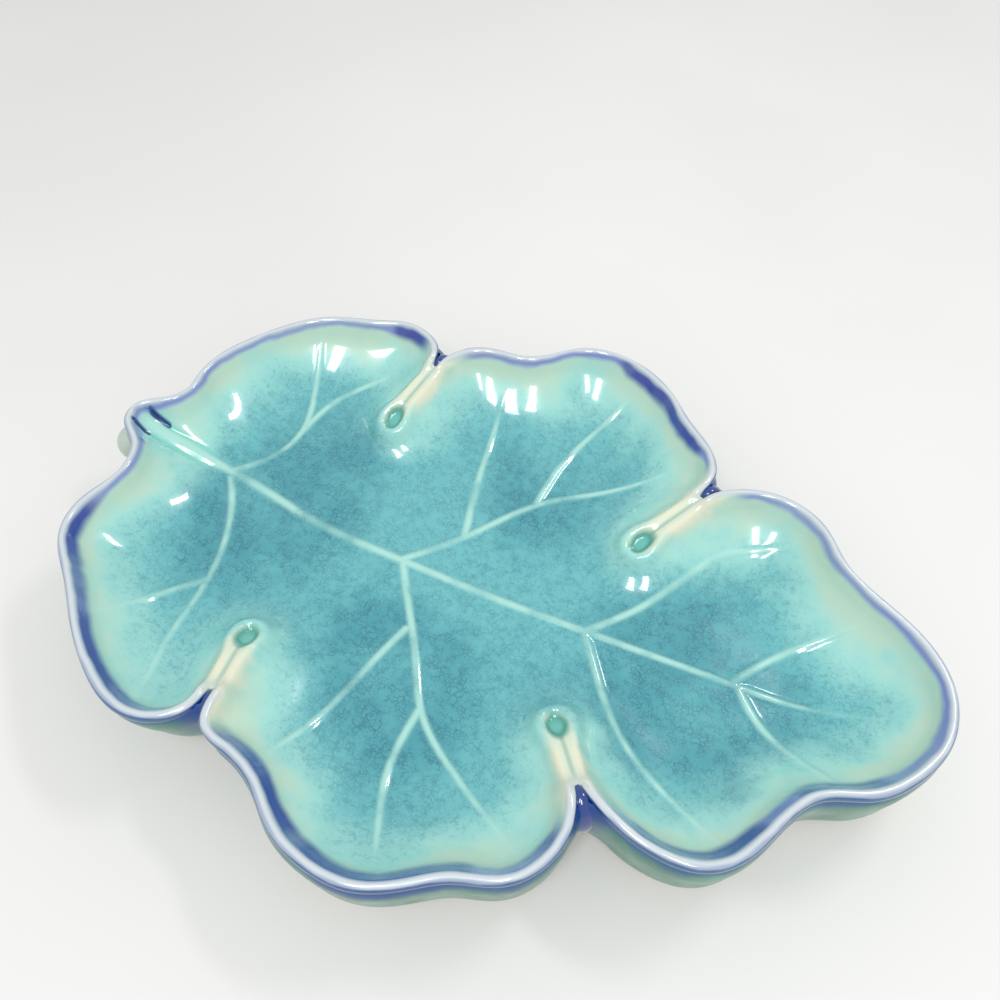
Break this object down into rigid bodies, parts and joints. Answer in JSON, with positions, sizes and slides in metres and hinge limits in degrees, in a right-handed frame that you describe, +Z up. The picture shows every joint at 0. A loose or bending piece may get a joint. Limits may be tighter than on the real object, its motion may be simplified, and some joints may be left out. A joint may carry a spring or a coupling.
{
  "type": "ring dish",
  "caption": "Hand-built ceramic ring dish in the shape of a lobed leaf, with raised veins, folded notches, a stem stub and a turquoise and cobalt glaze.",
  "frame": {"origin": "centre of the dish's plan box, on the table that the foot ring rests on", "axes": "+X along the midrib from the stem to the tip, +Z up"},
  "size_m": [0.1294, 0.093, 0.0159],
  "materials": {
    "glazed_lip": "gloss",
    "bare_clay": "matte",
    "turquoise_glaze": "gloss",
    "green_glaze": "gloss",
    "cobalt_glaze": "gloss"
  },
  "bodies": {
    "root": {"clay_body": "glazed_lip", "foot_ring": "bare_clay", "inside_glaze": "turquoise_glaze", "outside_glaze": "green_glaze", "cobalt_line_inside": "cobalt_glaze", "cobalt_line_outside": "cobalt_glaze", "notch_glaze_pools": "turquoise_glaze", "cobalt_pools": "cobalt_glaze"}
  },
  "joints": []
}
